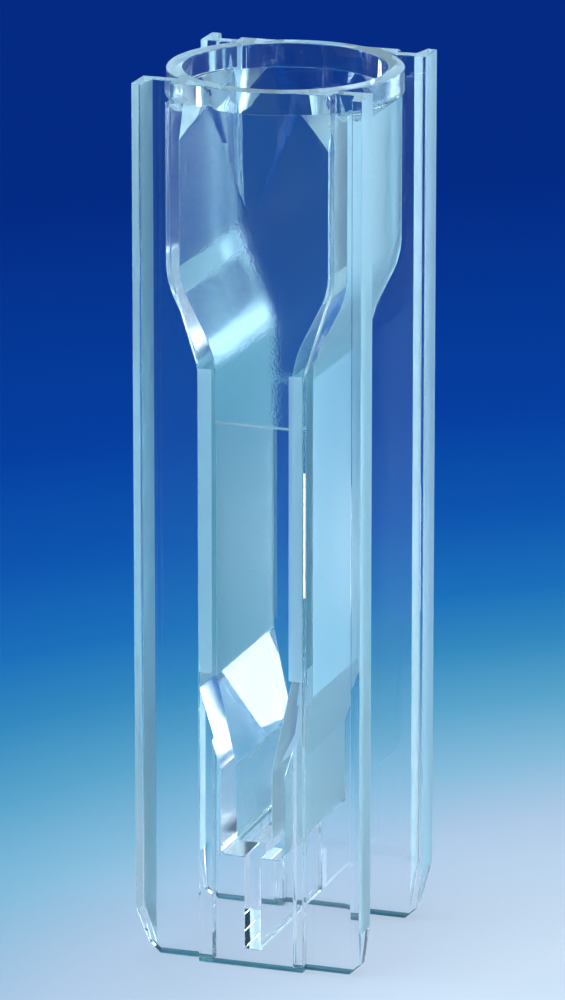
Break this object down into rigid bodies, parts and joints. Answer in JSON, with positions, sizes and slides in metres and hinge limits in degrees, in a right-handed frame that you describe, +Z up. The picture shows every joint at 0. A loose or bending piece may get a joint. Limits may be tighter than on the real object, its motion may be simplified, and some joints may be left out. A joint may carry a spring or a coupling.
{
  "type": "cuvette",
  "caption": "Clear one-piece cuvette with a round mouth, a stepped funnel channel, a narrow measuring cell and ribbed front and rear plates.",
  "frame": {"origin": "middle of the base, at the height of the plates' bottom edges", "axes": "+Z up along the channel towards the mouth; the windows face -Y and +Y; the ribs' outer edges face -X and +X"},
  "size_m": [0.0118, 0.0118, 0.045],
  "materials": {
    "clear_plastic": "clear injection-moulded plastic, polished windows, finely grained funnel and side walls"
  },
  "bodies": {
    "root": {"cuvette": "clear_plastic"}
  },
  "joints": []
}
